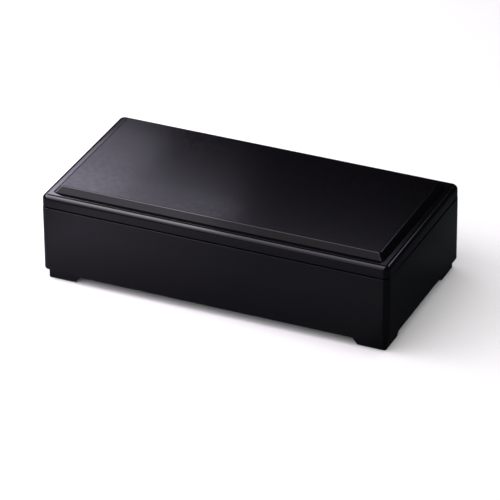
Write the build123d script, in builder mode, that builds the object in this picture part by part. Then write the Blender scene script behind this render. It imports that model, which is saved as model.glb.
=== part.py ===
from build123d import *
import os

# A long, low lacquered jubako: one tier on a cut-away base, and its lift-off lid.
# X runs along the length, Y from front to back and Z up. The origin is the centre of the
# footprint, on the surface that the feet stand on. All sizes are in millimetres.

# Plan of the tier
length = 364.0
width = 182.0
corner_radius = 7.0

# Tier walls
wall_height = 68.4
wall_thickness = 9.0
cove_radius = 2.5
wall_foot_round = 1.2
mouth_lip_thickness = 3.75
mouth_edge_round = 0.25

# Floor board, held in grooves in the walls
floor_thickness = 6.0
floor_lift = 4.0
groove_depth = 4.0
floor_corner_round = 1.0

# Base under the walls, cut away between its corner feet
base_height = 10.6
notch_height = 6.6
notch_round = 1.5
foot_length = 29.0
foot_slant_run = 5.3
foot_edge_round = 0.8

# Fits between stacked boxes and between tier and lid
mouth_clearance = 0.4
stack_clearance = 0.3
panel_clearance = 0.4

# Lid frame
lid_setback = 0.3
lid_edge_height = 13.6
lid_edge_round = 4.5
lid_rail_width = 20.0
seam_round = 1.6

# Raised panel of the lid
panel_seat_depth = 5.0
panel_step = 0.5
panel_bevel_rise = 5.9
panel_bevel_run = 5.7
panel_corner_round = 3.5
panel_top_corner_round = 2.5
panel_edge_round = 0.5

# Strips under the lid frame that find the tier's mouth
lid_lip_height = 6.0
lid_lip_chamfer = 0.8

# Loose tongues glued across the mitres
tier_tongue_width = 6.0
tier_tongue_thickness = 2.5
tier_tongue_end_gap = 3.0
lid_tongue_size = 12.0
lid_tongue_thickness = 3.0

# Every corner is mitred at this angle, in degrees
mitre_angle = 45.0

# How far every cutting shape runs past what it cuts
overrun = 2.0

# Heights of the joints between the pieces
wall_bottom = base_height
floor_bottom = wall_bottom + floor_lift
floor_top = floor_bottom + floor_thickness
rim = wall_bottom + wall_height
mouth_depth = base_height + stack_clearance
ledge = rim - mouth_depth
lid_flat = rim + lid_edge_height
panel_seat = lid_flat - panel_seat_depth
bevel_foot = lid_flat + panel_step
panel_top = bevel_foot + panel_bevel_rise

# The base and the lid's strips stand this far inside the tier's outside, to pass its mouth
base_inset = mouth_lip_thickness + mouth_clearance

# The panel leaves a rim on the lid that the base of a box above stands on
panel_inset = wall_thickness + panel_clearance

# Corners of the plan by name, as the signs of X and Y, and the two corners of each side
corners = {"front_left": (-1, -1), "front_right": (1, -1), "back_right": (1, 1), "back_left": (-1, 1)}
sides = {
    "front": ("front_left", "front_right"),
    "right": ("front_right", "back_right"),
    "back": ("back_right", "back_left"),
    "left": ("back_left", "front_left"),
}

os.makedirs("parts", exist_ok=True)


def plan(inset, radius):
    """The tier's plan, drawn in by an inset, with its corners rounded."""
    RectangleRounded(length - 2 * inset, width - 2 * inset, radius)


def corner_point(corner, inset):
    """A point on the mitre line of a corner, this far inside both of its outer faces."""
    sign_x, sign_y = corners[corner]
    return sign_x * (length / 2 - inset), sign_y * (width / 2 - inset)


def mitre_turn(corner):
    """The angle that turns a tongue's thickness along the mitre line of its corner."""
    sign_x, sign_y = corners[corner]
    return mitre_angle * sign_x * sign_y


def hand_in(piece, name):
    """Labels one finished piece and writes it."""
    piece.label = name
    export_step(piece, f"parts/{name}.step")


def mitred_side(frame, side):
    """One side of a closed frame, cut off along the mitres at its two corners."""
    first, second = sides[side]
    reach = lid_setback + lid_rail_width + overrun
    with BuildPart() as board:
        add(frame)
        with BuildSketch(Plane.XY.offset(-overrun)):
            with BuildLine():
                Polyline(
                    corner_point(first, -overrun),
                    corner_point(second, -overrun),
                    corner_point(second, reach),
                    corner_point(first, reach),
                    close=True,
                )
            make_face()
        extrude(amount=panel_top + 2 * overrun, mode=Mode.INTERSECT)
    return board.part


def tier_tongue(corner, mode):
    """A loose tongue across a wall mitre, from above the floor to below the mouth's ledge."""
    x, y = corner_point(corner, wall_thickness / 2)
    low = floor_top + tier_tongue_end_gap
    high = ledge - tier_tongue_end_gap
    with Locations(Location((x, y, low), (0, 0, mitre_turn(corner)))):
        Box(
            tier_tongue_thickness,
            tier_tongue_width,
            high - low,
            align=(Align.CENTER, Align.CENTER, Align.MIN),
            mode=mode,
        )


def lid_tongue(corner, mode):
    """A flat square tongue across a lid mitre, half way up the rail under the panel's seat."""
    x, y = corner_point(corner, lid_setback + lid_rail_width / 2)
    z = (rim + panel_seat) / 2
    with Locations(Location((x, y, z), (0, 0, mitre_turn(corner)))):
        Box(lid_tongue_size, lid_tongue_size, lid_tongue_thickness, mode=mode)


# The four walls, worked as one closed frame and then parted at the mitres
with BuildPart() as wall_frame:
    with BuildSketch(Plane.XY.offset(wall_bottom)):
        plan(0, corner_radius)
    extrude(amount=wall_height)
    fillet(wall_frame.edges().group_by(Axis.Z)[0], wall_foot_round)
    fillet(wall_frame.edges().group_by(Axis.Z)[-1], mouth_edge_round)
    # The space inside
    with BuildSketch(Plane.XY.offset(wall_bottom)):
        plan(wall_thickness, cove_radius)
    extrude(amount=wall_height, mode=Mode.SUBTRACT)
    # The rebate round the mouth takes the lid's strips or the base of a tier above
    with BuildSketch(Plane.XY.offset(ledge)):
        plan(mouth_lip_thickness, corner_radius - mouth_lip_thickness)
    extrude(amount=mouth_depth, mode=Mode.SUBTRACT)
    fillet(wall_frame.faces().sort_by(Axis.Z)[-1].inner_wires()[0].edges(), mouth_edge_round)
    # The groove for the floor board
    with BuildSketch(Plane.XY.offset(floor_bottom)):
        plan(wall_thickness - groove_depth, floor_corner_round)
    extrude(amount=floor_thickness, mode=Mode.SUBTRACT)
    for corner in corners:
        tier_tongue(corner, Mode.SUBTRACT)

for side in sides:
    hand_in(mitred_side(wall_frame.part, side), f"tier_wall_{side}")

with BuildPart() as tier_floor:
    with BuildSketch(Plane.XY.offset(floor_bottom)):
        plan(wall_thickness - groove_depth, floor_corner_round)
    extrude(amount=floor_thickness)
hand_in(tier_floor.part, "tier_floor")

for corner in corners:
    with BuildPart() as tongue:
        tier_tongue(corner, Mode.ADD)
    hand_in(tongue.part, f"tier_tongue_{corner}")

# The base: a frame flush with the walls' insides, notched between its corner feet
with BuildPart() as base_frame:
    with BuildSketch():
        plan(base_inset, corner_radius - base_inset)
    extrude(amount=base_height)
    fillet(base_frame.edges().group_by(Axis.Z)[0], foot_edge_round)
    with BuildSketch():
        plan(wall_thickness, cove_radius)
    extrude(amount=base_height, mode=Mode.SUBTRACT)
    notches = (
        (Plane.XZ, length / 2 - base_inset - foot_length),
        (Plane.YZ, width / 2 - base_inset - foot_length),
    )
    for face, half_span in notches:
        with BuildSketch(face) as notch:
            with BuildLine():
                Polyline(
                    (-half_span, 0),
                    (half_span, 0),
                    (half_span - foot_slant_run, notch_height),
                    (-half_span + foot_slant_run, notch_height),
                    close=True,
                )
            make_face()
            fillet(notch.vertices().group_by(Axis.Y)[-1], notch_round)
        extrude(amount=length, both=True, mode=Mode.SUBTRACT)

for side in sides:
    hand_in(mitred_side(base_frame.part, side), f"base_rail_{side}")

# The lid's frame, with a rounded outer edge and a seat for the raised panel
with BuildPart() as lid_frame:
    with BuildSketch(Plane.XY.offset(rim)):
        plan(lid_setback, corner_radius - lid_setback)
    extrude(amount=lid_edge_height)
    fillet(lid_frame.edges().group_by(Axis.Z)[0], seam_round)
    fillet(lid_frame.edges().group_by(Axis.Z)[-1], lid_edge_round)
    with BuildSketch(Plane.XY.offset(rim)):
        plan(lid_setback + lid_rail_width, cove_radius)
    extrude(amount=lid_edge_height, mode=Mode.SUBTRACT)
    with BuildSketch(Plane.XY.offset(panel_seat)):
        plan(panel_inset, panel_corner_round)
    extrude(amount=panel_seat_depth, mode=Mode.SUBTRACT)
    for corner in corners:
        lid_tongue(corner, Mode.SUBTRACT)

for side in sides:
    hand_in(mitred_side(lid_frame.part, side), f"lid_rail_{side}")

for corner in corners:
    with BuildPart() as tongue:
        lid_tongue(corner, Mode.ADD)
    hand_in(tongue.part, f"lid_tongue_{corner}")

# The raised panel: its sides are upright to a small step above the rim, and bevelled from there
with BuildPart() as lid_panel:
    with BuildSketch(Plane.XY.offset(panel_seat)):
        plan(panel_inset, panel_corner_round)
    extrude(amount=panel_seat_depth + panel_step)
    with BuildSketch(Plane.XY.offset(bevel_foot)):
        plan(panel_inset, panel_corner_round)
    with BuildSketch(Plane.XY.offset(panel_top)):
        plan(panel_inset + panel_bevel_run, panel_top_corner_round)
    loft(ruled=True)
    fillet(lid_panel.edges().group_by(Axis.Z)[-1], panel_edge_round)
hand_in(lid_panel.part, "lid_panel")

# The strips that hang from the lid's frame into the tier's mouth
with BuildPart() as lip_frame:
    with BuildSketch(Plane.XY.offset(rim - lid_lip_height)):
        plan(base_inset, corner_radius - base_inset)
    extrude(amount=lid_lip_height)
    chamfer(lip_frame.edges().group_by(Axis.Z)[0], lid_lip_chamfer)
    with BuildSketch(Plane.XY.offset(rim - lid_lip_height)):
        plan(wall_thickness, cove_radius)
    extrude(amount=lid_lip_height, mode=Mode.SUBTRACT)

for side in sides:
    hand_in(mitred_side(lip_frame.part, side), f"lid_lip_{side}")
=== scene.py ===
"""A long, low stacking lacquer box: its tier on a cut-away base, and its lift-off lid with a raised panel.

The frame holds every piece at its place. This script models the boards over it, each frame of four in one
and then parted at its mitres. It gives every piece its finish, and adds a pale floor, whose reflection in the
lacquer is a glowing sheet of painted light and painted shade, soft studio light and the camera.
Lengths are in metres, and X runs along the box, Y to its back and Z up.
"""
import logging
import math
from dataclasses import dataclass, field, replace
from enum import Enum
from typing import Any, Callable, Iterable, Mapping, Optional, Sequence, Union

import bmesh
import bpy
from bmesh.types import BMVert
from bpy.types import Material, Node, NodeSocket, NodeTree, Object
from mathutils import Matrix, Vector


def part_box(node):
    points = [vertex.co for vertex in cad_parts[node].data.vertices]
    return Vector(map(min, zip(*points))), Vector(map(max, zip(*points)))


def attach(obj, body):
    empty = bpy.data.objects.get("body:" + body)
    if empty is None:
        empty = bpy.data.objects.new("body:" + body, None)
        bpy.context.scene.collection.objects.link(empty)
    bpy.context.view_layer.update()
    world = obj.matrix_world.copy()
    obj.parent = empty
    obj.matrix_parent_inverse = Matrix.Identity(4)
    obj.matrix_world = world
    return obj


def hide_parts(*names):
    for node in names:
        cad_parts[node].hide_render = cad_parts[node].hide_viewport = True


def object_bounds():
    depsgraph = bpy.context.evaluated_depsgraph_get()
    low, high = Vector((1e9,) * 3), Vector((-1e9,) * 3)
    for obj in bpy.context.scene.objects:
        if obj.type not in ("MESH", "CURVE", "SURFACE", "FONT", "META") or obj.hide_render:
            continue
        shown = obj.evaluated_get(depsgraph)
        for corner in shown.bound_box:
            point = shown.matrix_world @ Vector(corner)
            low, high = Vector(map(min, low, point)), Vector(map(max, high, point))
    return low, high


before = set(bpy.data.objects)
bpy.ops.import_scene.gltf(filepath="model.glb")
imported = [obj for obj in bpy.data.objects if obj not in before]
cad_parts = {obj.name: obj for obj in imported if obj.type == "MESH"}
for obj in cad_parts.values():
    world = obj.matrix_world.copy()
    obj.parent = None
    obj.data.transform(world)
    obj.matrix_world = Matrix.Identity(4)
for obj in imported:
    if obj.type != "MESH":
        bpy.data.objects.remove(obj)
FRAME_LOW, FRAME_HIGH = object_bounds()

MM = 0.001
LOG = logging.getLogger("lacquer_box")

# Inside, the base and the lid's strips are flush with the walls
WALL_THICKNESS = 9 * MM
# How far into the wood the change of colour lies, so that the inside faces are all of the inside's colour
COLOUR_LAP = 0.15 * MM
# The facets across a rounded corner of the plan, and the points of a ring with four such corners
CORNER_STEPS = 24
RING_POINTS = 4 * (CORNER_STEPS + 1)
# The facets across a rounded edge
EDGE_STEPS = 8
# How far apart in height the rings are laid until they are joined
RING_SPACING = 20 * MM
# How near to a cut a point counts as lying on it
CUT_TOLERANCE = 0.001 * MM
# An edge that turns by more than this stays sharp in the shading
SMOOTH_ANGLE = math.radians(30)
QUARTER_TURN = math.radians(90)

# A clear resin coat bends light by this much
LACQUER_IOR = 1.5
# The middle of a noise's range, where nearly all of it lies
NOISE_MIDDLE = (0.3, 0.7)
# The marks of rubbing change this much more slowly along the box than across it
RUBBING_STRETCH = (0.06, 1.0, 1.0)
# How far the wave texture turns over a metre along its diagonal, at a scale of one
DIAGONAL_TURN = 10 * math.sqrt(3)
# Daylight is slightly violet, and the four lamps over the box and before it are less so
DAYLIGHT = "#eee8ff"
LAMPLIGHT = "#faf4ff"

# The name or the number of a node's input
SocketKey = Union[str, int]


def linear(hex_colour: str) -> tuple[float, float, float, float]:
    """Turns an sRGB hex colour to the linear colour that shaders take.

    Args:
        hex_colour: The colour as "#rrggbb".

    Returns:
        Its linear red, green and blue, and an alpha of one.
    """
    parts = [int(hex_colour[at:at + 2], 16) / 255 for at in (1, 3, 5)]
    red, green, blue = ((c / 12.92) if c <= 0.04045 else ((c + 0.055) / 1.055) ** 2.4 for c in parts)
    return red, green, blue, 1.0


def add_node(
    tree: NodeTree,
    kind: str,
    settings: Optional[Mapping[SocketKey, Any]] = None,
    links: Optional[Mapping[SocketKey, NodeSocket]] = None,
) -> Node:
    """Adds one node with its settings and links.

    Args:
        tree: The node tree that gets the node.
        kind: The node's type.
        settings: Values by the name or number of an input, or by the name of a property.
        links: Output sockets by the name or number of the input that they feed.

    Returns:
        The new node.
    """
    node = tree.nodes.new(kind)
    for key, value in (settings or {}).items():
        if isinstance(key, int) or key in node.inputs:
            node.inputs[key].default_value = value
        else:
            setattr(node, key, value)
    for key, socket in (links or {}).items():
        tree.links.new(socket, node.inputs[key])
    return node


def new_material(name: str) -> Material:
    """Makes a material that has no nodes yet.

    Args:
        name: Its name.

    Returns:
        The material.
    """
    material = bpy.data.materials.new(name)
    material.use_nodes = True
    material.node_tree.nodes.clear()
    return material


def mask_within(tree: NodeTree, edges: Iterable[tuple[NodeSocket, float, float]]) -> NodeSocket:
    """Adds the nodes that tell whether a place lies within all of a set of edges.

    Args:
        tree: The material's nodes.
        edges: For each edge a coordinate, where the mask is still zero along it and where it is one.

    Returns:
        A socket that is one within them all and zero elsewhere.
    """
    mask: Optional[NodeSocket] = None
    for coordinate, outside, inside in edges:
        links = {"Value": coordinate} if mask is None else {"Value": coordinate, "To Max": mask}
        step = add_node(tree, "ShaderNodeMapRange", {"From Min": outside, "From Max": inside}, links)
        mask = step.outputs[0]
    return mask


class Side(Enum):
    """The four sides of the box, by the names that its boards carry."""

    FRONT = "front"
    RIGHT = "right"
    BACK = "back"
    LEFT = "left"

    @property
    def outwards(self) -> Vector:
        """The direction that the side faces."""
        return {
            Side.FRONT: Vector((0.0, -1.0, 0.0)),
            Side.RIGHT: Vector((1.0, 0.0, 0.0)),
            Side.BACK: Vector((0.0, 1.0, 0.0)),
            Side.LEFT: Vector((-1.0, 0.0, 0.0)),
        }[self]


class Corner(Enum):
    """The four corners of the box, by the names that its tongues carry."""

    FRONT_LEFT = "front_left"
    FRONT_RIGHT = "front_right"
    BACK_RIGHT = "back_right"
    BACK_LEFT = "back_left"


@dataclass(frozen=True)
class InsideLimits:
    """Where the lacquer changes from the outside's colour to the inside's.

    Attributes:
        half_length: Half the length of the space inside the walls.
        half_width: Half the width of the space inside the walls.
        low: The underside of the floor board.
        high: The underside of the lid's panel.
        feather: How far to either side of a limit one colour gives way to the other.
    """

    half_length: float
    half_width: float
    low: float
    high: float
    feather: float = 0.12 * MM

    def mask(self, tree: NodeTree) -> NodeSocket:
        """Adds the nodes that tell the inside from the outside.

        Args:
            tree: The node tree of the finish.

        Returns:
            A socket that is one on the inside and zero elsewhere.
        """
        place = add_node(tree, "ShaderNodeTexCoord").outputs["Object"]
        spread = add_node(tree, "ShaderNodeVectorMath", {"operation": "ABSOLUTE"}, {0: place})
        across = add_node(tree, "ShaderNodeSeparateXYZ", links={0: spread.outputs[0]}).outputs
        height = add_node(tree, "ShaderNodeSeparateXYZ", links={0: place}).outputs["Z"]
        edges = (
            (across["X"], self.half_length + self.feather, self.half_length - self.feather),
            (across["Y"], self.half_width + self.feather, self.half_width - self.feather),
            (height, self.low - self.feather, self.low + self.feather),
            (height, self.high + self.feather, self.high - self.feather),
        )
        return mask_within(tree, edges)


@dataclass(frozen=True)
class Lacquer:
    """A coat of lacquer on wood, dark outside the box and vermilion inside it.

    Attributes:
        name: The material's name.
        colour: The outside's colour.
        inside_colour: The inside's colour.
        roughness: How far the coat scatters its reflection.
        roughness_swing: How much the polish differs from place to place.
        reflection: How strongly it reflects, where 0.5 is clear lacquer.
        mottle: The width of a patch of one polish.
        gloss: The weight of the sharp reflection over the soft one.
        gloss_roughness: The roughness of that sharp reflection.
        ripple: The spacing of the shallow ripple that a sprayed or brushed coat dries with.
        ripple_depth: How deep that ripple is.
        rubbing: The spacing of the fine marks of rubbing down, which run along the box.
        rubbing_depth: How deep those marks are.
    """

    name: str
    colour: str
    inside_colour: str
    roughness: float
    roughness_swing: float
    reflection: float
    mottle: float
    gloss: float
    gloss_roughness: float
    ripple: float
    ripple_depth: float
    rubbing: float
    rubbing_depth: float

    def material(self, limits: InsideLimits) -> Material:
        """Makes the lacquer's material.

        Args:
            limits: Where the inside's colour is.

        Returns:
            The material.
        """
        material = new_material(self.name)
        tree = material.node_tree
        place = add_node(tree, "ShaderNodeTexCoord").outputs["Object"]
        patched = {"Scale": 1 / self.mottle, "Detail": 3.0, "Roughness": 0.55}
        patches = add_node(tree, "ShaderNodeTexNoise", patched, {"Vector": place})
        roughness = add_node(
            tree,
            "ShaderNodeMapRange",
            {
                "From Min": NOISE_MIDDLE[0],
                "From Max": NOISE_MIDDLE[1],
                "To Min": self.roughness - self.roughness_swing,
                "To Max": self.roughness + self.roughness_swing,
            },
            {"Value": patches.outputs["Fac"]},
        )
        rippled = {"Scale": 1 / self.ripple, "Detail": 2.0}
        ripple = add_node(tree, "ShaderNodeTexNoise", rippled, {"Vector": place})
        drawn_out = add_node(tree, "ShaderNodeMapping", {"Scale": RUBBING_STRETCH}, {"Vector": place})
        rubbed = {"Scale": 1 / self.rubbing, "Detail": 4.0, "Roughness": 0.6}
        marks = add_node(tree, "ShaderNodeTexNoise", rubbed, {"Vector": drawn_out.outputs[0]})
        shallow = {"Strength": 1.0, "Distance": self.ripple_depth}
        waves = add_node(tree, "ShaderNodeBump", shallow, {"Height": ripple.outputs["Fac"]})
        fine = {"Strength": 1.0, "Distance": self.rubbing_depth}
        relief = {"Height": marks.outputs["Fac"], "Normal": waves.outputs[0]}
        surface = add_node(tree, "ShaderNodeBump", fine, relief)
        colours = {"data_type": "RGBA", 6: linear(self.colour), 7: linear(self.inside_colour)}
        tint = add_node(tree, "ShaderNodeMix", colours, {0: limits.mask(tree)})
        shader = add_node(
            tree,
            "ShaderNodeBsdfPrincipled",
            {
                "IOR": LACQUER_IOR,
                "Specular IOR Level": self.reflection,
                "Coat Weight": self.gloss,
                "Coat Roughness": self.gloss_roughness,
                "Coat IOR": LACQUER_IOR,
            },
            {
                "Base Color": tint.outputs[2],
                "Roughness": roughness.outputs[0],
                "Normal": surface.outputs[0],
                "Coat Normal": waves.outputs[0],
            },
        )
        add_node(tree, "ShaderNodeOutputMaterial", links={"Surface": shader.outputs[0]})
        return material


# Black lacquer, sprayed and polished: a deep black that returns soft, slightly violet reflections
POLISHED_BLACK = Lacquer(
    name="polished_black_lacquer",
    colour="#070608",
    inside_colour="#8c1f14",
    roughness=0.15,
    roughness_swing=0.02,
    reflection=0.5,
    mottle=6 * MM,
    gloss=0.15,
    gloss_roughness=0.05,
    ripple=5 * MM,
    ripple_depth=0.004 * MM,
    rubbing=0.9 * MM,
    rubbing_depth=0.0006 * MM,
)

# The same lacquer rubbed down along the grain: the panel spreads its reflections into a satin haze
SATIN_BLACK = replace(
    POLISHED_BLACK,
    name="satin_black_lacquer",
    roughness=0.18,
    roughness_swing=0.03,
    reflection=0.25,
    mottle=5 * MM,
    gloss=0.05,
    gloss_roughness=0.06,
    ripple=6 * MM,
    rubbing=0.7 * MM,
    rubbing_depth=0.0012 * MM,
)


@dataclass(frozen=True)
class PlanedWood:
    """Bare planed softwood, as the tongues inside the mitres are.

    Attributes:
        name: The material's name.
        early: The colour of the pale spring wood.
        late: The colour of the darker summer wood.
        band: The spacing of the pale and dark bands.
        band_depth: How far the dark bands stand out after planing.
        roughness: How far the surface scatters light.
    """

    name: str
    early: str
    late: str
    band: float
    band_depth: float
    roughness: float

    def material(self) -> Material:
        """Makes the wood's material, with bands that wander a little.

        Returns:
            The material.
        """
        material = new_material(self.name)
        tree = material.node_tree
        place = add_node(tree, "ShaderNodeTexCoord").outputs["Object"]
        bands = add_node(
            tree,
            "ShaderNodeTexWave",
            {
                "wave_type": "BANDS",
                "bands_direction": "DIAGONAL",
                "Scale": math.tau / (DIAGONAL_TURN * self.band),
                "Distortion": 3.0,
                "Detail": 3.0,
                "Detail Scale": 1.5,
            },
            {"Vector": place},
        )
        colours = {"data_type": "RGBA", 6: linear(self.early), 7: linear(self.late)}
        colour = add_node(tree, "ShaderNodeMix", colours, {0: bands.outputs["Fac"]})
        relief = {"Strength": 0.3, "Distance": self.band_depth}
        bump = add_node(tree, "ShaderNodeBump", relief, {"Height": bands.outputs["Fac"]})
        shader = add_node(
            tree,
            "ShaderNodeBsdfPrincipled",
            {"Roughness": self.roughness},
            {"Base Color": colour.outputs[2], "Normal": bump.outputs[0]},
        )
        add_node(tree, "ShaderNodeOutputMaterial", links={"Surface": shader.outputs[0]})
        return material


# Planed cypress: pale and dry, with no coat on it
# Its year rings are about 1 mm apart, and are drawn coarser so that they show
CYPRESS = PlanedWood(
    name="planed_cypress",
    early="#d9b98a",
    late="#b98d58",
    band=8.706 * MM,
    band_depth=0.05 * MM,
    roughness=0.62,
)


@dataclass
class Finishes:
    """The finishes of the whole box, each made once and shared by its pieces.

    Attributes:
        limits: Where the lacquer turns to the inside's colour.
        outside: The lacquer of the boards.
        panel: The lacquer of the raised panel.
        wood: The bare wood of the tongues.
    """

    limits: InsideLimits
    outside: Material = field(init=False)
    panel: Material = field(init=False)
    wood: Material = field(init=False)

    def __post_init__(self) -> None:
        """Makes the materials."""
        self.outside = POLISHED_BLACK.material(self.limits)
        self.panel = SATIN_BLACK.material(self.limits)
        self.wood = CYPRESS.material()

    @staticmethod
    def give(piece: Object, finish: Material) -> None:
        """Puts one finish on a whole piece, in place of its own.

        Args:
            piece: The piece.
            finish: Its finish.
        """
        piece.data.materials.clear()
        piece.data.materials.append(finish)


def dress(names: Iterable[str], finish: Material) -> None:
    """Gives carried-over pieces of the frame their finish, and reports each.

    Args:
        names: The nodes' names.
        finish: Their finish.
    """
    for name in names:
        Finishes.give(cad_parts[name], finish)
        LOG.info("%s: %s", name, finish.name)


def deselect() -> None:
    """Leaves edit mode and deselects every object, so that an operator acts only on what is chosen next."""
    if bpy.context.object and bpy.context.object.mode != "OBJECT":
        bpy.ops.object.mode_set(mode="OBJECT")
    bpy.ops.object.select_all(action="DESELECT")


def take(piece: Object) -> None:
    """Makes one piece the only selected and active one.

    Args:
        piece: The piece.
    """
    deselect()
    piece.select_set(True)
    bpy.context.view_layer.objects.active = piece


def choose(piece: Object, test: Callable[[BMVert], bool]) -> None:
    """Selects, in edit mode, the points that pass a test, with the edges and faces between them.

    Args:
        piece: The piece in edit mode.
        test: Says of a point whether it is selected.
    """
    net = bmesh.from_edit_mesh(piece.data)
    for face in net.faces:
        face.select_set(False)
    for point in net.verts:
        point.select_set(test(point))
    net.select_flush(True)
    bmesh.update_edit_mesh(piece.data)


def apply_modifier(piece: Object, kind: str, **settings: Any) -> None:
    """Adds a modifier with its settings and applies it.

    Args:
        piece: The piece that it changes.
        kind: The modifier's type.
        settings: Its settings by name.
    """
    modifier = piece.modifiers.new(kind.lower(), kind)
    for key, value in settings.items():
        setattr(modifier, key, value)
    take(piece)
    bpy.ops.object.modifier_apply(modifier=modifier.name)


def smooth(piece: Object) -> None:
    """Shades the rounded stretches of a piece smooth and keeps its flats flat.

    Args:
        piece: The piece.
    """
    take(piece)
    bpy.ops.object.shade_smooth_by_angle(angle=SMOOTH_ANGLE)
    apply_modifier(piece, "WEIGHTED_NORMAL", keep_sharp=True)


@dataclass(frozen=True)
class Ring:
    """One corner of a section, which runs round the box as a ring with four round corners.

    Attributes:
        inset: How far inside the box's outside it lies.
        height: How high over the table it lies.
        corner: The radius of its corners, seen from above.
        edge: How far from the edge along it its rounding starts, which on a square edge is the radius.
    """

    inset: float
    height: float
    corner: float
    edge: float = 0.0


@dataclass(frozen=True)
class Rings:
    """A shape that goes round the box: a frame of a closed section, or a board that is a stack of rings.

    Attributes:
        name: The name of the finished shape.
        rings: The rings in the order that they are joined.
        hollow: True for a frame, whose last ring joins its first, and False for a board.
    """

    name: str
    rings: Sequence[Ring]
    hollow: bool = True

    def model(self) -> Object:
        """Models the whole shape.

        Returns:
            The shape, closed, with its edges rounded.
        """
        deselect()
        bpy.ops.mesh.primitive_plane_add(size=1.0)
        piece = bpy.context.object
        piece.name = piece.data.name = self.name
        bpy.ops.object.mode_set(mode="EDIT")
        bpy.ops.mesh.select_mode(type="VERT")
        for at, ring in enumerate(self.rings):
            self.lay(piece, at, ring)
        self.join(piece)
        for at, ring in enumerate(self.rings):
            choose(piece, self.on_rings(at))
            bpy.ops.transform.translate(value=(0.0, 0.0, ring.height - at * RING_SPACING))
        widest = max(ring.edge for ring in self.rings)
        for at, ring in enumerate(self.rings):
            if ring.edge:
                choose(piece, self.on_rings(at))
                bpy.ops.transform.edge_bevelweight(value=ring.edge / widest)
        bpy.ops.mesh.select_all(action="SELECT")
        bpy.ops.mesh.normals_make_consistent(inside=False)
        deselect()
        if widest:
            apply_modifier(
                piece,
                "BEVEL",
                limit_method="WEIGHT",
                width=widest,
                segments=EDGE_STEPS,
                use_clamp_overlap=False,
                loop_slide=False,
            )
        return piece

    @staticmethod
    def lay(piece: Object, at: int, ring: Ring) -> None:
        """Lays one ring. The rings stand apart in height until they are joined, so that they join in line.

        Args:
            piece: The shape in edit mode.
            at: The ring's number.
            ring: Its sizes.
        """
        if at:
            bpy.ops.mesh.primitive_plane_add(size=1.0)
        length = 2 * (FRAME_HIGH.x - ring.inset)
        width = 2 * (FRAME_HIGH.y - ring.inset)
        bpy.ops.transform.resize(value=(length, width, 1.0))
        bpy.ops.transform.translate(value=(0.0, 0.0, at * RING_SPACING))
        bpy.ops.mesh.bevel(offset=ring.corner, segments=CORNER_STEPS, affect="VERTICES", clamp_overlap=False)
        choose(piece, lambda point: point.index // RING_POINTS == at)
        bpy.ops.mesh.delete(type="ONLY_FACE")

    @staticmethod
    def on_rings(*wanted: int) -> Callable[[BMVert], bool]:
        """Makes the test that finds the points of these rings, by the order in which they were laid."""
        return lambda point: point.index // RING_POINTS in wanted

    def join(self, piece: Object) -> None:
        """Bridges each ring to the next, and closes the frame or caps the board.

        Args:
            piece: The shape in edit mode, with all its rings laid.
        """
        last = len(self.rings) - 1
        for at in range(last):
            choose(piece, self.on_rings(at, at + 1))
            bpy.ops.mesh.bridge_edge_loops()
        if self.hollow:
            choose(piece, self.on_rings(last, 0))
            bpy.ops.mesh.bridge_edge_loops()
            return
        for end in (0, last):
            choose(piece, self.on_rings(end))
            bpy.ops.mesh.edge_face_add()


def settle(piece: Object, body: str, finish: Material) -> None:
    """Dresses a modelled piece and puts it in the place of its node.

    Args:
        piece: The piece, which has its node's name with "modelled_" before it.
        body: The body that it rides on.
        finish: Its material.
    """
    Finishes.give(piece, finish)
    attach(piece, body)
    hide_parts(piece.name.removeprefix("modelled_"))
    LOG.info("%s: %d faces, %s", piece.name, len(piece.data.polygons), finish.name)


def part_at_mitres(whole: Object, stem: str, body: str, finish: Material) -> None:
    """Smooths a whole frame, cuts it into its four boards and settles each of them.

    Args:
        whole: The frame, which is used up.
        stem: The start of the boards' names.
        body: The body that they ride on.
        finish: Their material.
    """
    smooth(whole)
    for side in Side:
        take(whole)
        bpy.ops.object.duplicate()
        board = bpy.context.object
        board.name = board.data.name = f"modelled_{stem}_{side.value}"
        along = Vector((0.0, 0.0, 1.0)).cross(side.outwards)
        # The opposite half goes first, and then what lies past the mitre at each end, where the cut is closed
        cuts = [(Vector((0.0, 0.0, 0.0)), -side.outwards, False)]
        for end in (-along, along):
            reach = side.outwards + end
            corner = Vector((reach.x * FRAME_HIGH.x, reach.y * FRAME_HIGH.y, 0.0))
            cuts.append((corner, (end - side.outwards).normalized(), True))
        bpy.ops.object.mode_set(mode="EDIT")
        for place, away, closed in cuts:
            bpy.ops.mesh.select_all(action="SELECT")
            bpy.ops.mesh.bisect(
                plane_co=place, plane_no=away, use_fill=closed, clear_outer=True, threshold=CUT_TOLERANCE
            )
        apply_modifier(
            board,
            "DATA_TRANSFER",
            object=whole,
            use_loop_data=True,
            data_types_loops={"CUSTOM_NORMAL"},
            loop_mapping="NEAREST_POLYNOR",
        )
        settle(board, body, finish)
    bpy.data.objects.remove(whole)


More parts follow.
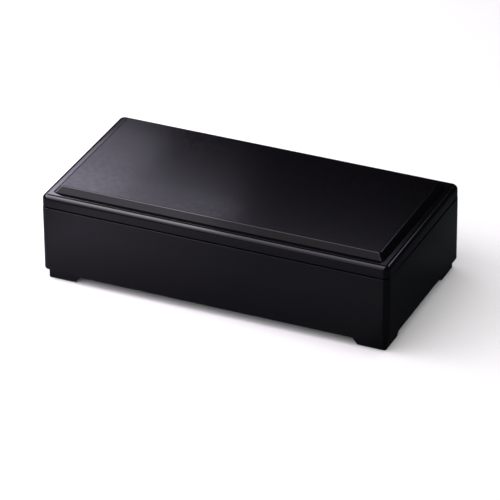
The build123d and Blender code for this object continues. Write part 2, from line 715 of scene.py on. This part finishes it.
@dataclass
class Base:
    """The base under the walls: a mitred frame, cut away between its corner feet.

    Attributes:
        finishes: The finishes of the box.
        corner: The radius of its outer corners.
        cove: The radius of its inner corners.
        foot_round: The rounding of its outer lower edge.
        inner_round: The rounding of its inner lower edge.
        notch_height: How high it is cut away.
        notch_round: The rounding in the upper corners of a cut.
        notch_edge: The softening of a cut's edges.
        notch_edge_steps: The facets across that softening.
        foot_length: The length of a foot along each side.
        foot_slant: How far a foot's end leans back over the height of a cut.
        overrun: How far a cutting shape runs past what it cuts.
        inset: How far the base stands inside the walls' outside.
        height: The height of the base.
    """

    finishes: Finishes
    corner: float = 2.85 * MM
    cove: float = 2.5 * MM
    foot_round: float = 0.8 * MM
    inner_round: float = 0.4 * MM
    notch_height: float = 6.6 * MM
    notch_round: float = 1.5 * MM
    notch_edge: float = 0.3 * MM
    notch_edge_steps: int = 3
    foot_length: float = 29 * MM
    foot_slant: float = 5.3 * MM
    overrun: float = 2 * MM
    inset: float = field(init=False)
    height: float = field(init=False)

    def __post_init__(self) -> None:
        """Takes the places that the frame gives."""
        low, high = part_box("base_rail_front")
        self.inset = low.y - FRAME_LOW.y
        self.height = high.z

    def notch(self, along: Vector, half_span: float) -> Object:
        """Models the shape that is cut out between the feet of two opposite sides.

        Args:
            along: The direction of those sides.
            half_span: Half the length of the cut, on the table.

        Returns:
            The cutting shape.
        """
        deselect()
        across = Vector((along.y, along.x, 0.0))
        upright = Vector((0.0, 0.0, 1.0))
        # It starts below the table, where its slanted ends are further apart, and is wider than the box
        half_bottom = half_span + self.overrun * self.foot_slant / self.notch_height
        width = 2 * (FRAME_HIGH.x - FRAME_LOW.x)
        height = self.notch_height + self.overrun
        bpy.ops.mesh.primitive_cube_add(size=1.0)
        cutter = bpy.context.object
        bpy.ops.object.mode_set(mode="EDIT")
        bpy.ops.transform.resize(value=2 * half_bottom * along + width * across + height * upright)
        bpy.ops.transform.translate(value=(0.0, 0.0, (self.notch_height - self.overrun) / 2))
        choose(cutter, lambda point: point.co.z > 0)
        narrowing = (half_span - self.foot_slant) / half_bottom
        bpy.ops.transform.resize(value=narrowing * along + across + upright)
        for end in (-1, 1):
            choose(cutter, lambda point: point.co.z > 0 and point.co.dot(along) * end > 0)
            bpy.ops.mesh.bevel(offset=self.notch_round, segments=EDGE_STEPS, affect="EDGES")
        deselect()
        return cutter

    def build(self) -> None:
        """Models the frame, cuts it away between the feet, softens the cuts and parts it."""
        whole = Rings(
            "base_frame",
            (
                Ring(self.inset, 0.0, self.corner, self.foot_round),
                Ring(self.inset, self.height, self.corner),
                Ring(WALL_THICKNESS, self.height, self.cove),
                Ring(WALL_THICKNESS, 0.0, self.cove, self.inner_round),
            ),
        ).model()
        for along, half in ((Vector((1.0, 0.0, 0.0)), FRAME_HIGH.x), (Vector((0.0, 1.0, 0.0)), FRAME_HIGH.y)):
            half_span = half - self.inset - self.foot_length
            cutter = self.notch(along, half_span)
            apply_modifier(whole, "BOOLEAN", object=cutter, operation="DIFFERENCE", solver="EXACT")
            bpy.data.objects.remove(cutter)
            take(whole)
            bpy.ops.object.mode_set(mode="EDIT")
            choose(
                whole,
                lambda point: point.co.z < self.notch_height + CUT_TOLERANCE
                and abs(point.co.dot(along)) < half_span + CUT_TOLERANCE,
            )
            bpy.ops.mesh.region_to_loop()
            bpy.ops.mesh.bevel(
                offset=self.notch_edge, segments=self.notch_edge_steps, affect="EDGES", clamp_overlap=False
            )
            deselect()
        part_at_mitres(whole, "base_rail", "tier", self.finishes.outside)


@dataclass
class Tier:
    """The box itself: four mitred walls, the floor in their groove, and the tongues in the mitres.

    Attributes:
        finishes: The finishes of the box.
        corner: The radius of the outer corners.
        cove: The radius of the inner corners.
        foot_round: The rounding of the walls' outer lower edge.
        mouth_round: The rounding of the rim's two edges.
        ledge_round: The rounding of the ledge's inner edge.
        mouth_clearance: The play between the rebate and a base that stands in it.
        stack_clearance: How much deeper the rebate is than a base is high.
        groove_depth: How far the floor board reaches into the walls.
        floor_corner: The radius of the floor board's corners.
        fillet: The height of the lacquer that gathers where the floor meets the walls.
        fillet_steps: The number of facets across that fillet.
        foot: The height of the walls' lower edge over the table.
        rim: The height of their rim.
        floor_bottom: The height of the floor board's underside.
        floor_top: The height of its top.
        ledge: The height of the ledge in the mouth.
        rebate: How far the rebate lies inside the walls' outside.
        groove: How far the bottom of the floor's groove lies inside it.
    """

    finishes: Finishes
    corner: float = 7 * MM
    cove: float = 2.5 * MM
    foot_round: float = 1.2 * MM
    mouth_round: float = 0.25 * MM
    ledge_round: float = 0.4 * MM
    mouth_clearance: float = 0.4 * MM
    stack_clearance: float = 0.3 * MM
    groove_depth: float = 4 * MM
    floor_corner: float = 1 * MM
    fillet: float = 0.8 * MM
    fillet_steps: int = 5
    foot: float = field(init=False)
    rim: float = field(init=False)
    floor_bottom: float = field(init=False)
    floor_top: float = field(init=False)
    ledge: float = field(init=False)
    rebate: float = field(init=False)
    groove: float = field(init=False)

    def __post_init__(self) -> None:
        """Takes the places that the frame gives."""
        wall_low, wall_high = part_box("tier_wall_front")
        floor_low, floor_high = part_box("tier_floor")
        base_low, base_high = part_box("base_rail_front")
        self.foot = wall_low.z
        self.rim = wall_high.z
        self.floor_bottom = floor_low.z
        self.floor_top = floor_high.z
        self.ledge = self.rim - base_high.z - self.stack_clearance
        self.rebate = base_low.y - FRAME_LOW.y - self.mouth_clearance
        self.groove = WALL_THICKNESS - self.groove_depth

    def walls(self) -> None:
        """Models the four walls, with the rebate round their mouth and the floor's groove."""
        whole = Rings(
            "wall_frame",
            (
                Ring(0.0, self.foot, self.corner, self.foot_round),
                Ring(0.0, self.rim, self.corner, self.mouth_round),
                Ring(self.rebate, self.rim, self.corner - self.rebate, self.mouth_round),
                Ring(self.rebate, self.ledge, self.corner - self.rebate),
                Ring(WALL_THICKNESS, self.ledge, self.cove, self.ledge_round),
                Ring(WALL_THICKNESS, self.floor_top, self.cove),
                Ring(self.groove, self.floor_top, self.floor_corner),
                Ring(self.groove, self.floor_bottom, self.floor_corner),
                Ring(WALL_THICKNESS, self.floor_bottom, self.cove),
                Ring(WALL_THICKNESS, self.foot, self.cove),
            ),
        ).model()
        part_at_mitres(whole, "tier_wall", "tier", self.finishes.outside)

    def floor(self) -> None:
        """Models the floor board, with the lacquer that gathers against the walls round its top."""
        rings = [
            Ring(self.groove, self.floor_bottom, self.floor_corner),
            Ring(self.groove, self.floor_top, self.floor_corner),
            Ring(WALL_THICKNESS, self.floor_top, self.cove),
        ]
        for step in range(self.fillet_steps + 1):
            turn = QUARTER_TURN * step / self.fillet_steps
            inwards = self.fillet * (1 - math.cos(turn))
            height = self.floor_top + self.fillet * (1 - math.sin(turn))
            rings.append(Ring(WALL_THICKNESS + inwards, height, self.cove - inwards))
        board = Rings("modelled_tier_floor", rings, hollow=False).model()
        smooth(board)
        settle(board, "tier", self.finishes.outside)

    def build(self) -> None:
        """Models the walls and the floor, and dresses the tongues."""
        self.walls()
        self.floor()
        dress((f"tier_tongue_{corner.value}" for corner in Corner), self.finishes.wood)


@dataclass
class Lid:
    """The lid: four mitred rails, the raised panel in their seat, and the strips that find the mouth.

    Attributes:
        finishes: The finishes of the box.
        corner: The radius of the rails' outer corners.
        cove: The radius of their inner corners.
        rail_width: The width of a rail.
        rim_round: The rounding of the rim's outer upper edge.
        seam_depth: How far the outer lower edge is cut back, which makes the dark seam over the tier.
        seam_height: The height of that seam.
        seam_edge: The softening of the seam's upper edge.
        seat_edge: The softening of the rim's inner edge.
        panel_gap: The width of the fine dark groove round the panel's foot.
        groove_depth: The depth of that groove.
        inner_edge: The softening of the edges inside.
        panel_corner: The radius of the panel's corners at its foot.
        panel_top_corner: The radius of its corners at its top.
        panel_step: The height of its upright side over the rim.
        bevel_run: How far its bevel leans in.
        panel_edge: How far from its upper edge the rounding starts.
        least_rise: The least upward part of a normal on that rounding, which is more than the bevel's.
        most_rise: The most upward part of a normal on it, which is less than the flat top's.
        lip_corner: The radius of the strips' outer corners.
        lip_edge: The rounding of the strips' outer lower edge.
        setback: How far the rails stand inside the walls' outside.
        foot: The height of the rails' underside over the table.
        rim: The height of their flat rim.
        panel_inset: How far the panel's foot stands inside the walls' outside.
        seat: The height of the panel's seat.
        groove_foot: The height of the bottom of the groove round the panel.
        bevel_foot: The height where the bevel starts.
        top: The height of the panel's flat top.
        lip_inset: How far the strips stand inside the walls' outside.
        lip_foot: The height of the strips' underside.
    """

    finishes: Finishes
    corner: float = 6.7 * MM
    cove: float = 2.5 * MM
    rail_width: float = 20 * MM
    rim_round: float = 5.2 * MM
    seam_depth: float = 2.6 * MM
    seam_height: float = 1.5 * MM
    seam_edge: float = 0.4 * MM
    seat_edge: float = 0.1 * MM
    panel_gap: float = 0.6 * MM
    groove_depth: float = 1.5 * MM
    inner_edge: float = 0.4 * MM
    panel_corner: float = 3.5 * MM
    panel_top_corner: float = 2.5 * MM
    panel_step: float = 0.5 * MM
    bevel_run: float = 5.7 * MM
    panel_edge: float = 0.8 * MM
    least_rise: float = 0.68
    most_rise: float = 0.9995
    lip_corner: float = 2.85 * MM
    lip_edge: float = 0.8 * MM
    setback: float = field(init=False)
    foot: float = field(init=False)
    rim: float = field(init=False)
    panel_inset: float = field(init=False)
    seat: float = field(init=False)
    groove_foot: float = field(init=False)
    bevel_foot: float = field(init=False)
    top: float = field(init=False)
    lip_inset: float = field(init=False)
    lip_foot: float = field(init=False)

    def __post_init__(self) -> None:
        """Takes the places that the frame gives."""
        rail_low, rail_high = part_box("lid_rail_front")
        panel_low, panel_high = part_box("lid_panel")
        lip_low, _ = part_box("lid_lip_front")
        self.setback = rail_low.y - FRAME_LOW.y
        self.foot = rail_low.z
        self.rim = rail_high.z
        self.panel_inset = panel_low.y - FRAME_LOW.y
        self.seat = panel_low.z
        self.groove_foot = self.rim - self.groove_depth
        self.bevel_foot = self.rim + self.panel_step
        self.top = panel_high.z
        self.lip_inset = lip_low.y - FRAME_LOW.y
        self.lip_foot = lip_low.z

    def rails(self) -> None:
        """Models the four rails, with their rounded rim and the panel's seat."""
        inside = self.setback + self.rail_width
        seam = self.setback + self.seam_depth
        seam_corner = self.corner - self.seam_depth
        seam_top = self.foot + self.seam_height
        whole = Rings(
            "lid_frame",
            (
                Ring(seam, self.foot, seam_corner),
                Ring(seam, seam_top, seam_corner),
                Ring(self.setback, seam_top, self.corner, self.seam_edge),
                Ring(self.setback, self.rim, self.corner, self.rim_round),
                Ring(self.panel_inset, self.rim, self.panel_corner, self.seat_edge),
                Ring(self.panel_inset, self.seat, self.panel_corner),
                Ring(inside, self.seat, self.cove),
                Ring(inside, self.foot, self.cove, self.inner_edge),
            ),
        ).model()
        part_at_mitres(whole, "lid_rail", "lid", self.finishes.outside)

    def panel(self) -> None:
        """Models the raised panel, upright at its foot and bevelled to its flat top."""
        side = self.panel_inset + self.panel_gap
        side_corner = self.panel_corner - self.panel_gap
        board = Rings(
            "modelled_lid_panel",
            (
                Ring(self.panel_inset, self.seat, self.panel_corner),
                Ring(self.panel_inset, self.groove_foot, self.panel_corner),
                Ring(side, self.groove_foot, side_corner),
                Ring(side, self.bevel_foot, side_corner),
                Ring(self.panel_inset + self.bevel_run, self.top, self.panel_top_corner, self.panel_edge),
            ),
            hollow=False,
        ).model()
        smooth(board)
        settle(board, "lid", self.finishes.panel)
        # The rounded upper edge, between the bevel and the flat top, is as glossy as the rails
        board.data.materials.append(self.finishes.outside)
        for face in board.data.polygons:
            if face.center.z > self.bevel_foot and self.least_rise < face.normal.z < self.most_rise:
                face.material_index = 1

    def lips(self) -> None:
        """Models the four strips under the rails."""
        whole = Rings(
            "lip_frame",
            (
                Ring(self.lip_inset, self.lip_foot, self.lip_corner, self.lip_edge),
                Ring(self.lip_inset, self.foot, self.lip_corner),
                Ring(WALL_THICKNESS, self.foot, self.cove),
                Ring(WALL_THICKNESS, self.lip_foot, self.cove, self.inner_edge),
            ),
        ).model()
        part_at_mitres(whole, "lid_lip", "lid", self.finishes.outside)

    def build(self) -> None:
        """Models the rails, the panel and the strips, and dresses the tongues."""
        self.rails()
        self.panel()
        self.lips()
        dress((f"lid_tongue_{corner.value}" for corner in Corner), self.finishes.wood)


@dataclass(frozen=True)
class Camera:
    """The camera, where the photograph was taken from.

    Attributes:
        azimuth: Its direction round the box from the front, in degrees.
        elevation: Its height above the horizon, in degrees.
        roll: How far it is turned about its own axis, in degrees.
        focal_pixels: Its focal length, in pixels of the photograph.
        scale: How many pixels a millimetre at the origin fills.
        origin_x: The pixel column that the origin falls on.
        origin_y: The pixel row that the origin falls on.
        picture: The photograph's width and height, in pixels.
        sensor: The width of the sensor, in millimetres.
        clip: The nearest and the farthest that it sees, as shares of its own distance from the box.
    """

    azimuth: float = 24.265
    elevation: float = 29.733
    roll: float = -0.530
    focal_pixels: float = 3956.3
    scale: float = 1.022
    origin_x: float = 251.116
    origin_y: float = 271.718
    picture: float = 500.0
    sensor: float = 36.0
    clip: tuple[float, float] = (0.01, 10.0)

    def place(self) -> None:
        """Makes the camera and hands it to the scene."""
        azimuth, elevation, roll = (math.radians(a) for a in (self.azimuth, self.elevation, self.roll))
        back = Vector(
            (
                math.sin(azimuth) * math.cos(elevation),
                -math.cos(azimuth) * math.cos(elevation),
                math.sin(elevation),
            )
        )
        level = Vector((math.cos(azimuth), math.sin(azimuth), 0.0))
        upright = back.cross(level)
        right = level * math.cos(roll) + upright * math.sin(roll)
        up = upright * math.cos(roll) - level * math.sin(roll)
        distance = self.focal_pixels / self.scale * MM
        aside = (self.origin_x - self.picture / 2) / self.focal_pixels * distance
        below = (self.origin_y - self.picture / 2) / self.focal_pixels * distance
        data = bpy.data.cameras.new("camera")
        data.sensor_width = self.sensor
        data.lens = self.sensor * self.focal_pixels / self.picture
        data.clip_start = distance * self.clip[0]
        data.clip_end = distance * self.clip[1]
        camera = bpy.data.objects.new("camera", data)
        bpy.context.scene.collection.objects.link(camera)
        turn = Matrix((right, up, back)).transposed()
        camera.matrix_world = Matrix.Translation(back * distance - right * aside + up * below) @ turn.to_4x4()
        bpy.context.scene.camera = camera


@dataclass(frozen=True)
class SoftBox:
    """A level soft box that hangs over the floor and shines straight down.

    Attributes:
        name: The light's name.
        low: Its left front corner.
        high: Its right back corner.
        height: How high over the floor it hangs.
        radiance: How bright its diffuser is, where white card on the floor is about one.
        colour: The colour of its light.
    """

    name: str
    low: tuple[float, float]
    high: tuple[float, float]
    height: float
    radiance: float
    colour: str = DAYLIGHT

    def hang(self) -> None:
        """Adds the light, hidden from the camera and seen in reflections."""
        data = bpy.data.lights.new(self.name, "AREA")
        data.shape = "RECTANGLE"
        data.size = self.high[0] - self.low[0]
        data.size_y = self.high[1] - self.low[1]
        # The power of a flat diffuser is pi times its radiance and its area
        data.energy = math.pi * self.radiance * data.size * data.size_y
        data.color = linear(self.colour)[:3]
        light = bpy.data.objects.new(self.name, data)
        bpy.context.scene.collection.objects.link(light)
        light.location = ((self.low[0] + self.high[0]) / 2, (self.low[1] + self.high[1]) / 2, self.height)
        light.visible_camera = False


@dataclass(frozen=True)
class PaintedFloorPatch:
    """A patch of painted light or painted shade on the mirrored floor, lighter or darker than the rest of it.

    An edge is the place where the patch sets in and the place where it is full.

    Attributes:
        brightness: How bright it is, as a share of the rest: above one it is painted light, below one painted
            shade.
        front_edge: Its edge along Y.
        soft_edge: Its soft edge along X.
        wall_edge: Its sharp edge along X, in line with the right wall's outside.
    """

    brightness: float
    front_edge: tuple[float, float]
    soft_edge: tuple[float, float]
    wall_edge: tuple[float, float]


# The sharp edge of a patch that lies past the right wall's line. Turned round, it is that of one short of it
PAST_RIGHT_WALL = (FRAME_HIGH.x, FRAME_HIGH.x + 0.01 * MM)


@dataclass(frozen=True)
class Studio:
    """The pale floor with its painted reflection, the soft lights over the box, and the even daylight of the
    room.

    Attributes:
        floor_reach: The width of the floor.
        floor_colour: The floor as the camera sees it.
        painted_mirror_floor: The floor in the lacquer's reflections: places along the box, from left to
            right,
        and the floor's colour there. The camera doesn't see it. These colours are painted light and painted
        shade: lighter at the left, and darker to the right in the box's painted shadow. They are tuned to set
        the walls' tones, and over the plain floor alone they would be far lighter.
        painted_contact_shade: How dark the painted shadow on the mirrored floor is at the foot of the box, as
            a share of its colour.
        contact_reach: How far from the box that painted shadow ends.
        patches: The patches of painted light and painted shade on the mirrored floor.
        room_colour: The colour of the daylight.
        room_strength: The strength of the daylight, which lights the floor but isn't mirrored.
        boxes: The soft boxes.
    """

    floor_reach: float = 30.0
    floor_colour: str = "#f4f3f1"
    # Painted light at the left and painted shade to the right, as the floor round the box would be lit and
    # shaded
    painted_mirror_floor: tuple[tuple[float, str], ...] = (
        (-0.26, "#898595"),
        (-0.20, "#b0abbd"),
        (-0.09, "#898595"),
        (0.0, "#6d6b76"),
        (0.15, "#65656e"),
        (0.175, "#2f3233"),
    )
    painted_contact_shade: float = 0.45
    contact_reach: float = 0.09
    patches: tuple[PaintedFloorPatch, ...] = (
        # Painted light beside the back of the right wall
        PaintedFloorPatch(2.2, (0.06, 0.10), (0.24, 0.21), PAST_RIGHT_WALL),
        # Painted shade behind the box, towards its right corner
        PaintedFloorPatch(0.2, (0.09, 0.12), (0.02, 0.12), PAST_RIGHT_WALL[::-1]),
    )
    room_colour: str = "#ffffff"
    room_strength: float = 0.75
    boxes: tuple[SoftBox, ...] = (
        SoftBox("overhead", (-0.70, -0.33), (-0.18, 0.03), 0.55, 5.3, LAMPLIGHT),
        SoftBox("overhead_right", (-0.18, -0.33), (0.20, 0.0), 0.55, 2.05, LAMPLIGHT),
        SoftBox("front", (-0.70, -0.65), (-0.24, -0.34), 0.56, 2.35, LAMPLIGHT),
        SoftBox("front_right", (-0.24, -0.65), (0.20, -0.34), 0.56, 0.82, LAMPLIGHT),
        SoftBox("front_far", (-0.95, -1.60), (0.20, -0.66), 0.56, 0.8),
        SoftBox("left", (-0.95, -0.60), (-0.487, 0.85), 0.57, 2.2),
        SoftBox("back", (-0.95, 0.55), (-0.32, 0.70), 0.55, 2.3),
        SoftBox("back_right", (-0.32, 0.50), (-0.06, 0.67), 0.55, 0.45),
        SoftBox("right", (0.28, 0.40), (0.60, 0.64), 0.55, 2.0),
    )

    def floor(self) -> None:
        """Lays the floor. The camera sees it plain and pale, and the lacquer mirrors a glowing sheet of
        painted light and painted shade in its place.
        """
        deselect()
        bpy.ops.mesh.primitive_plane_add(size=self.floor_reach)
        floor = bpy.context.object
        floor.name = "floor"
        material = new_material("pale_card_painted_in_reflections")
        tree = material.node_tree
        place = add_node(tree, "ShaderNodeTexCoord").outputs["Object"]
        colour = self.painted_mirror_colour(tree, place)
        shade = self.painted_mirror_shade(tree, place)
        # In reflections the floor is this emission, not a lit surface: a painted reflection that glows with
        # painted light and painted shade
        mirrored = add_node(tree, "ShaderNodeEmission", links={"Color": colour, "Strength": shade})
        pale = add_node(tree, "ShaderNodeBsdfDiffuse", {"Color": linear(self.floor_colour)})
        path = add_node(tree, "ShaderNodeLightPath")
        mixed = add_node(
            tree,
            "ShaderNodeMixShader",
            links={0: path.outputs["Is Glossy Ray"], 1: pale.outputs[0], 2: mirrored.outputs[0]},
        )
        add_node(tree, "ShaderNodeOutputMaterial", links={"Surface": mixed.outputs[0]})
        floor.data.materials.append(material)

    def painted_mirror_colour(self, tree: NodeTree, place: NodeSocket) -> NodeSocket:
        """Makes the mirrored floor's painted colour, which runs from painted light at the left to painted
        shade at the right.

        Args:
            tree: The floor's nodes.
            place: The place on the floor.

        Returns:
            The colour.
        """
        first, last = self.painted_mirror_floor[0], self.painted_mirror_floor[-1]
        length = last[0] - first[0]
        along = add_node(tree, "ShaderNodeSeparateXYZ", links={0: place}).outputs["X"]
        span = {"From Min": first[0], "From Max": last[0]}
        share = add_node(tree, "ShaderNodeMapRange", span, {"Value": along})
        ramp = add_node(tree, "ShaderNodeValToRGB", links={0: share.outputs[0]})
        stops = ramp.color_ramp.elements
        for stop, colour in self.painted_mirror_floor[1:-1]:
            stops.new((stop - first[0]) / length).color = linear(colour)
        stops[0].color = linear(first[1])
        stops[-1].color = linear(last[1])
        return ramp.outputs["Color"]

    def painted_mirror_shade(self, tree: NodeTree, place: NodeSocket) -> NodeSocket:
        """Makes the mirrored floor's brightness: a painted shadow at the foot of the box, and patches of
        painted light and painted shade.

        Args:
            tree: The floor's nodes.
            place: The place on the floor.

        Returns:
            The brightness.
        """
        axes = add_node(tree, "ShaderNodeSeparateXYZ", links={0: place}).outputs
        # A painted shadow: the glow dims towards the foot of the box
        spread = add_node(tree, "ShaderNodeVectorMath", {"operation": "ABSOLUTE"}, {0: place}).outputs[0]
        beyond = add_node(tree, "ShaderNodeVectorMath", {"operation": "SUBTRACT", 1: FRAME_HIGH}, {0: spread})
        ways = add_node(tree, "ShaderNodeSeparateXYZ", links={0: beyond.outputs[0]}).outputs
        away = add_node(tree, "ShaderNodeMath", {"operation": "MAXIMUM"}, {0: ways["X"], 1: ways["Y"]})
        fall = {"From Max": self.contact_reach, "To Min": self.painted_contact_shade}
        shade = add_node(tree, "ShaderNodeMapRange", fall, {"Value": away.outputs[0]}).outputs[0]
        # Each patch scales the glow: painted light where it is brighter, painted shade where it is darker
        for patch in self.patches:
            edges = (
                (axes["Y"], *patch.front_edge),
                (axes["X"], *patch.soft_edge),
                (axes["X"], *patch.wall_edge),
            )
            within = mask_within(tree, edges)
            change = {"To Min": 1.0, "To Max": patch.brightness}
            share = add_node(tree, "ShaderNodeMapRange", change, {"Value": within}).outputs[0]
            product = add_node(tree, "ShaderNodeMath", {"operation": "MULTIPLY"}, {0: shade, 1: share})
            shade = product.outputs[0]
        return shade

    def room(self) -> None:
        """Fills the room with even daylight, which the lacquer doesn't mirror."""
        world = bpy.data.worlds.new("room")
        bpy.context.scene.world = world
        world.use_nodes = True
        background = world.node_tree.nodes["Background"]
        background.inputs["Color"].default_value = linear(self.room_colour)
        background.inputs["Strength"].default_value = self.room_strength
        world.cycles_visibility.glossy = False

    def build(self) -> None:
        """Makes the floor, the room and the lights, and keeps the picture's tones plain."""
        self.floor()
        self.room()
        for box in self.boxes:
            box.hang()
        bpy.context.scene.view_settings.view_transform = "Standard"


def main() -> None:
    """Sets the camera and the studio, mixes the finishes, and builds the base, the tier and the lid."""
    logging.basicConfig(level=logging.INFO, format="%(message)s")
    Camera().place()
    Studio().build()
    floor_low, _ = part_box("tier_floor")
    panel_low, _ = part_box("lid_panel")
    finishes = Finishes(
        InsideLimits(
            half_length=FRAME_HIGH.x - WALL_THICKNESS + COLOUR_LAP,
            half_width=FRAME_HIGH.y - WALL_THICKNESS + COLOUR_LAP,
            low=floor_low.z + COLOUR_LAP,
            high=panel_low.z + COLOUR_LAP,
        )
    )
    Base(finishes).build()
    Tier(finishes).build()
    Lid(finishes).build()


if __name__ == "__main__":
    main()
